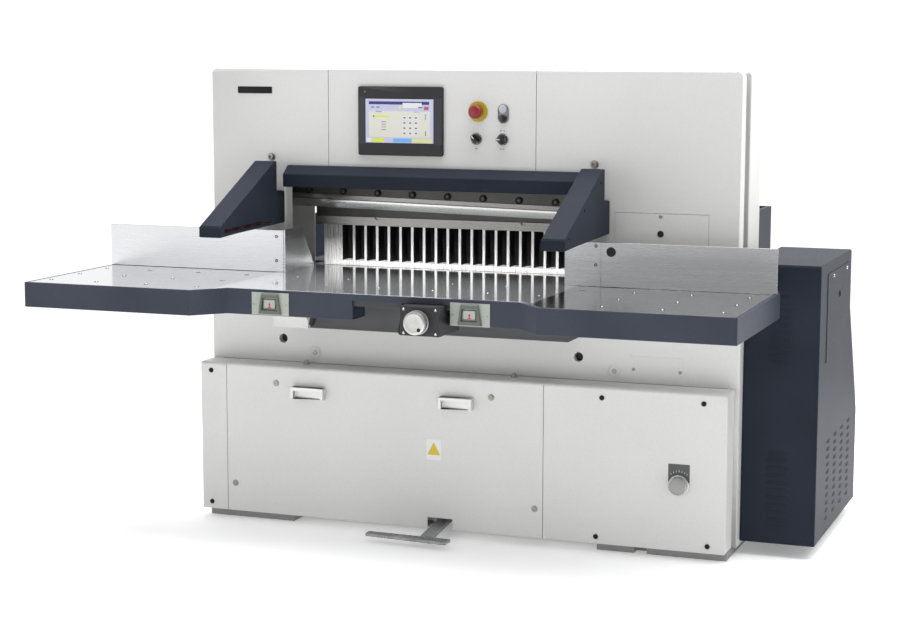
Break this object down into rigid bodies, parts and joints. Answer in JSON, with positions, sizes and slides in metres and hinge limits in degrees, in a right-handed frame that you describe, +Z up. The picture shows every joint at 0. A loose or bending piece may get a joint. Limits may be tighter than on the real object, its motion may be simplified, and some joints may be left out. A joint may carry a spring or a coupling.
{
  "type": "guillotine paper cutter",
  "caption": "Programmable guillotine paper cutter with sliding knife, clamp, driven backgauge, side tables, guard arms and a touch panel",
  "frame": {"origin": "middle of the footprint, on the floor", "axes": "+X to the operator's right, +Y from the operator to the rear, +Z up"},
  "size_m": [2.554, 2.093, 1.61],
  "materials": {
    "light": "smooth warm light-grey powder coat, semi-gloss",
    "blue": "dark blue-grey textured powder coat",
    "stainless": "stainless sheet brushed along its length",
    "polished": "ground and polished steel, near mirror",
    "castp": "cast iron under dark primer",
    "steel": "machined steel",
    "alu": "turned satin aluminium",
    "black": "fine-textured black plastic",
    "motor": "black painted motor housing",
    "red": "moulded red plastic",
    "yellow": "moulded yellow plastic",
    "white": "moulded white plastic",
    "screen": "touch screen's glass-clear front, lit",
    "greygreen": "grey-green anodised plate",
    "rubber": "black rubber cable sheath"
  },
  "bodies": {
    "machine": {"left_foot": "castp", "right_foot": "castp", "base_frame": "castp", "left_side_frame": "castp", "right_side_frame": "castp", "crossbeam": "castp", "main_table": "polished", "cutting_stick": "red", "left_side_table": "stainless", "right_side_table": "stainless", "left_table_trim": "blue", "right_table_trim": "blue", "left_fence": "stainless", "right_fence": "stainless", "left_inner_guide": "stainless", "right_inner_guide": "stainless", "left_upper_cover": "light", "right_upper_cover": "light", "control_panel": "light", "access_door": "light", "rear_housing": "light", "lower_body_panel": "light", "left_end_cover": "light", "front_cover": "light", "right_front_cover": "light", "left_cover_handle": "alu", "right_cover_handle": "alu", "knife_bar_cover": "blue", "left_guard_arm": "blue", "right_guard_arm": "blue", "rear_guard": "blue", "electrical_cabinet": "blue", "cabinet_side_panel": "blue", "touch_panel_bezel": "black", "touch_screen": "screen", "estop_collar": "yellow", "left_cut_button_plate": "greygreen", "right_cut_button_plate": "greygreen", "handwheel_box": "black", "handwheel_cable": "rubber", "knife_cylinder": "castp", "clamp_cylinder": "castp", "gauge_motor": "motor", "hydraulic_unit": "blue"},
    "knife_drive": {"knife_block": "castp"},
    "knife_assembly": {"knife_beam": "steel", "knife": "polished"},
    "clamp": {"clamp_beam": "castp"},
    "gauge": {"backgauge": "stainless"},
    "gauge_screw": {"lead_screw": "steel"},
    "pulse_wheel": {"handwheel": "alu"},
    "estop": {"estop_button": "red"},
    "start": {"start_button": "white"},
    "stop": {"stop_button": "black"},
    "left_selector": {"selector_switch_left": "black"},
    "right_selector": {"selector_switch_right": "black"},
    "left_cut": {"left_cut_button": "red"},
    "right_cut": {"right_cut_button": "red"},
    "pedal": {"foot_pedal": "castp"},
    "pressure_setting": {"pressure_knob": "alu"}
  },
  "joints": [
    {"name": "knife_slide", "type": "slide", "parent": "machine", "child": "knife_drive", "axis": [0.342, 0, -0.9397], "range_m": [0, 0.1993]},
    {"name": "knife_level", "type": "hinge", "parent": "knife_drive", "child": "knife_assembly", "pos_m": [0.598, -0.2237, 1.17], "axis": [0, 1, 0], "range_deg": [-1.2, 0]},
    {"name": "clamp_slide", "type": "slide", "parent": "machine", "child": "clamp", "axis": [0, 0, -1], "range_m": [0, 0.1465]},
    {"name": "backgauge_slide", "type": "slide", "parent": "machine", "child": "gauge", "axis": [0, 1, 0], "range_m": [0, 0.9]},
    {"name": "lead_screw_turn", "type": "hinge", "parent": "machine", "child": "gauge_screw", "pos_m": [-0.059, -0.1095, 0.79], "axis": [0, 1, 0], "range_deg": [0, 16200]},
    {"name": "handwheel_turn", "type": "hinge", "parent": "machine", "child": "pulse_wheel", "pos_m": [0.131, -1.0055, 0.829], "axis": [0, 1, 0], "continuous": true},
    {"name": "estop_press", "type": "slide", "parent": "machine", "child": "estop", "axis": [0, 1, 0], "range_m": [0, 0.006], "stiffness_N_per_m": 1500},
    {"name": "start_press", "type": "slide", "parent": "machine", "child": "start", "axis": [0, 1, 0], "range_m": [0, 0.004], "stiffness_N_per_m": 1200},
    {"name": "stop_press", "type": "slide", "parent": "machine", "child": "stop", "axis": [0, 1, 0], "range_m": [0, 0.004], "stiffness_N_per_m": 1200},
    {"name": "left_selector_turn", "type": "hinge", "parent": "machine", "child": "left_selector", "pos_m": [0.097, -0.3738, 1.376], "axis": [0, 1, 0], "range_deg": [-45, 45]},
    {"name": "right_selector_turn", "type": "hinge", "parent": "machine", "child": "right_selector", "pos_m": [0.192, -0.3738, 1.376], "axis": [0, 1, 0], "range_deg": [-45, 45]},
    {"name": "left_cut_press", "type": "slide", "parent": "machine", "child": "left_cut", "axis": [0, 1, 0], "range_m": [0, 0.0038], "stiffness_N_per_m": 1500},
    {"name": "right_cut_press", "type": "slide", "parent": "machine", "child": "right_cut", "axis": [0, 1, 0], "range_m": [0, 0.0038], "stiffness_N_per_m": 1500},
    {"name": "pedal_press", "type": "hinge", "parent": "machine", "child": "pedal", "pos_m": [0.053, -0.4035, 0.052], "axis": [1, 0, 0], "range_deg": [0, 3.5], "stiffness_Nm_per_rad": 400, "springref_deg": -2.29},
    {"name": "pressure_knob_turn", "type": "hinge", "parent": "machine", "child": "pressure_setting", "pos_m": [0.85, -0.4775, 0.253], "axis": [0, 1, 0], "range_deg": [-135, 135]}
  ],
  "couplings": [
    {"joint": "knife_level", "follows": "knife_slide", "rad_per_m": -0.105},
    {"joint": "lead_screw_turn", "follows": "backgauge_slide", "rad_per_m": 314.16}
  ]
}
